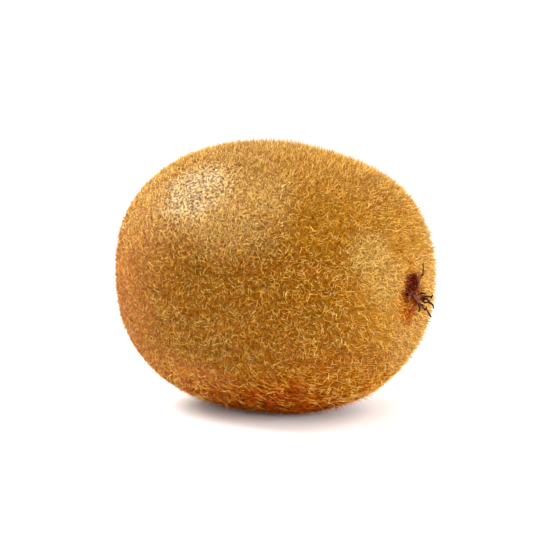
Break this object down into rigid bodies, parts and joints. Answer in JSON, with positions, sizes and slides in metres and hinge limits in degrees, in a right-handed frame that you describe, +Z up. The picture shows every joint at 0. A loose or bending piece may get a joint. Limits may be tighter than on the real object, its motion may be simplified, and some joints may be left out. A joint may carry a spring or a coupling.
{
  "type": "kiwi fruit",
  "caption": "Oval kiwi fruit lying on its side, with short brown hair all over, dried styles in the hollow at one end and the stalk's scar at the other.",
  "frame": {"origin": "middle of the foot of the fruit's bounding box, on the surface that it rests on", "axes": "+X along the fruit's long axis towards the blossom end with its dried styles, +Y across it, +Z up"},
  "size_m": [0.0662, 0.0554, 0.0527],
  "materials": {
    "fruit": "dry brown skin under short matted hair",
    "dried_styles": "dry, nearly black",
    "calyx": "dry and corky"
  },
  "bodies": {
    "root": {"fruit": "fruit", "dried_styles": "dried_styles", "calyx": "calyx"}
  },
  "joints": []
}
